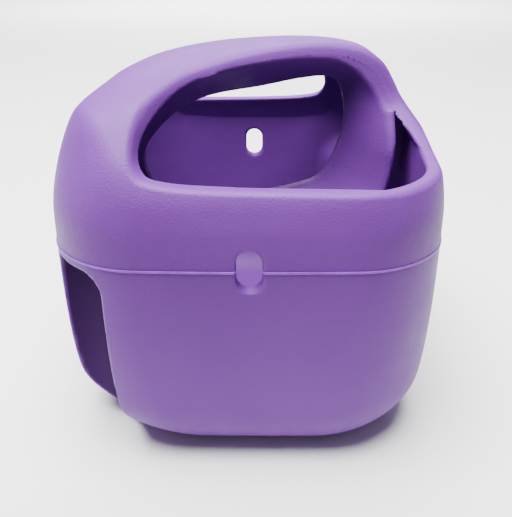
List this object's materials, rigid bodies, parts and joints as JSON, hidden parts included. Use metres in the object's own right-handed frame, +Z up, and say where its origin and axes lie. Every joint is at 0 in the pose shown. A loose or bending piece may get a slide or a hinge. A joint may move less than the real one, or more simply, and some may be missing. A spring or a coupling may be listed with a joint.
{
  "type": "paw washer cup",
  "caption": "Deep soft-moulded cup in two shells, with a hood whose strap is the handle, a guide ring inside and lift-out bristle mats.",
  "frame": {"origin": "middle of the flat base, on the surface that the cup stands on", "axes": "+X towards the narrow end of the handle, +Y from the near side opening to the far one, +Z up; the far opening and scoop are the near ones turned half a turn about Z"},
  "size_m": [0.1545, 0.1808, 0.1564],
  "materials": {
    "shell": "matte lavender soft moulding with a very fine grain",
    "ring": "matte lavender soft moulding",
    "core_steel": "plain rolled strip",
    "gasket": "matte lilac, a little lighter than the shells",
    "pins": "plain natural nylon",
    "bristles": "soft matte moulding",
    "feet": "matte, slightly tacky"
  },
  "bodies": {
    "cup": {"lower_shell": "shell", "seam_gasket_left": "gasket", "seam_gasket_right": "gasket", "locating_pins": "pins", "foot_near_left": "feet", "foot_far_left": "feet", "foot_near_right": "feet", "foot_far_right": "feet"},
    "hood": {"upper_shell": "shell", "guide_ring_near": "ring", "guide_ring_far": "ring", "handle_core": "core_steel"},
    "mat_left": {"bristle_mat_left": "bristles"},
    "mat_right": {"bristle_mat_right": "bristles"}
  },
  "joints": [
    {"name": "hood_lift", "type": "slide", "parent": "cup", "child": "hood", "axis": [0, 0, 1], "range_m": [0, 0.16]},
    {"name": "mat_left_lift", "type": "slide", "parent": "cup", "child": "mat_left", "axis": [0, 0, 1], "range_m": [0, 0.08]},
    {"name": "mat_right_lift", "type": "slide", "parent": "cup", "child": "mat_right", "axis": [0, 0, 1], "range_m": [0, 0.08]}
  ],
  "couplings": [
    {"joint": "mat_left_lift", "follows": "hood_lift", "ratio": 0.5},
    {"joint": "mat_right_lift", "follows": "hood_lift", "ratio": 0.5}
  ]
}
